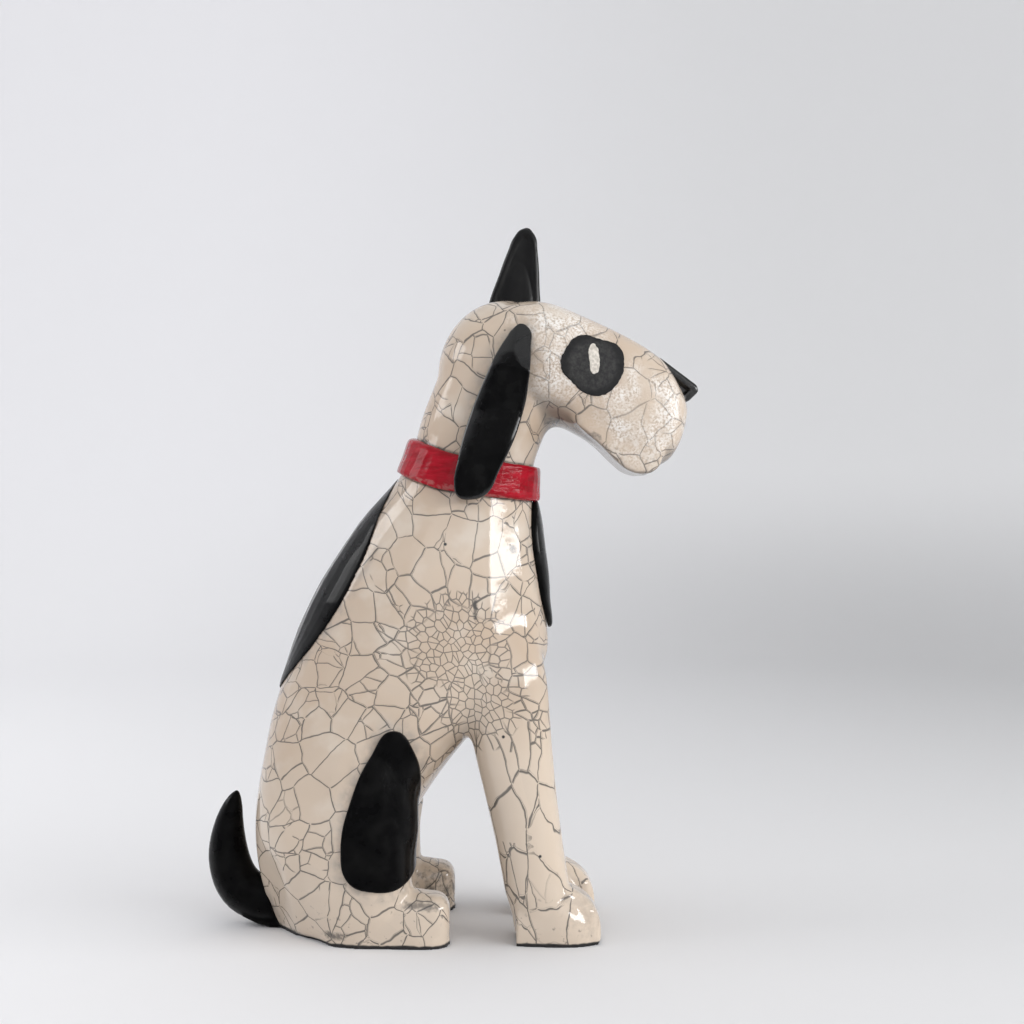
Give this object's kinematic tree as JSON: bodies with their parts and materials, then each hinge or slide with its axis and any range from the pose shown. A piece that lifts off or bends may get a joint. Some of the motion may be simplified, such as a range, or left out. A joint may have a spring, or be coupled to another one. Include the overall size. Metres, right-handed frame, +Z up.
{
  "type": "ceramic dog figurine",
  "caption": "Seated long-muzzled dog figurine in crackle-glazed ceramic, with smoke-black ears, nose, tail and pads and a red collar; a free-standing ornament.",
  "frame": {"origin": "bottom centre of the figurine's bounding box, on the surface that it sits on", "axes": "+X the way the dog looks, +Y to the dog's left, +Z up"},
  "size_m": [0.2447, 0.1142, 0.3515],
  "materials": {
    "crackle_glaze": "glossy cream-white glaze with a net of grey crackle lines",
    "smoked_clay": "bare clay, smoked black, satin",
    "dark_slip": "dark grey slip, brushed on, matt",
    "red_glaze": "glossy brushed red glaze"
  },
  "bodies": {
    "root": {"torso": "crackle_glaze", "head": "crackle_glaze", "collar": "red_glaze", "nose": "smoked_clay", "hanging_ear": "smoked_clay", "upright_ear": "smoked_clay", "tail": "smoked_clay", "right_foreleg": "crackle_glaze", "left_foreleg": "crackle_glaze", "right_hind_leg": "crackle_glaze", "left_hind_leg": "crackle_glaze", "saddle_pad": "smoked_clay", "chest_pad": "smoked_clay", "thigh_pad": "smoked_clay", "right_eye": "dark_slip", "right_eye_glint": "crackle_glaze", "left_eye": "dark_slip", "left_eye_glint": "crackle_glaze"}
  },
  "joints": []
}
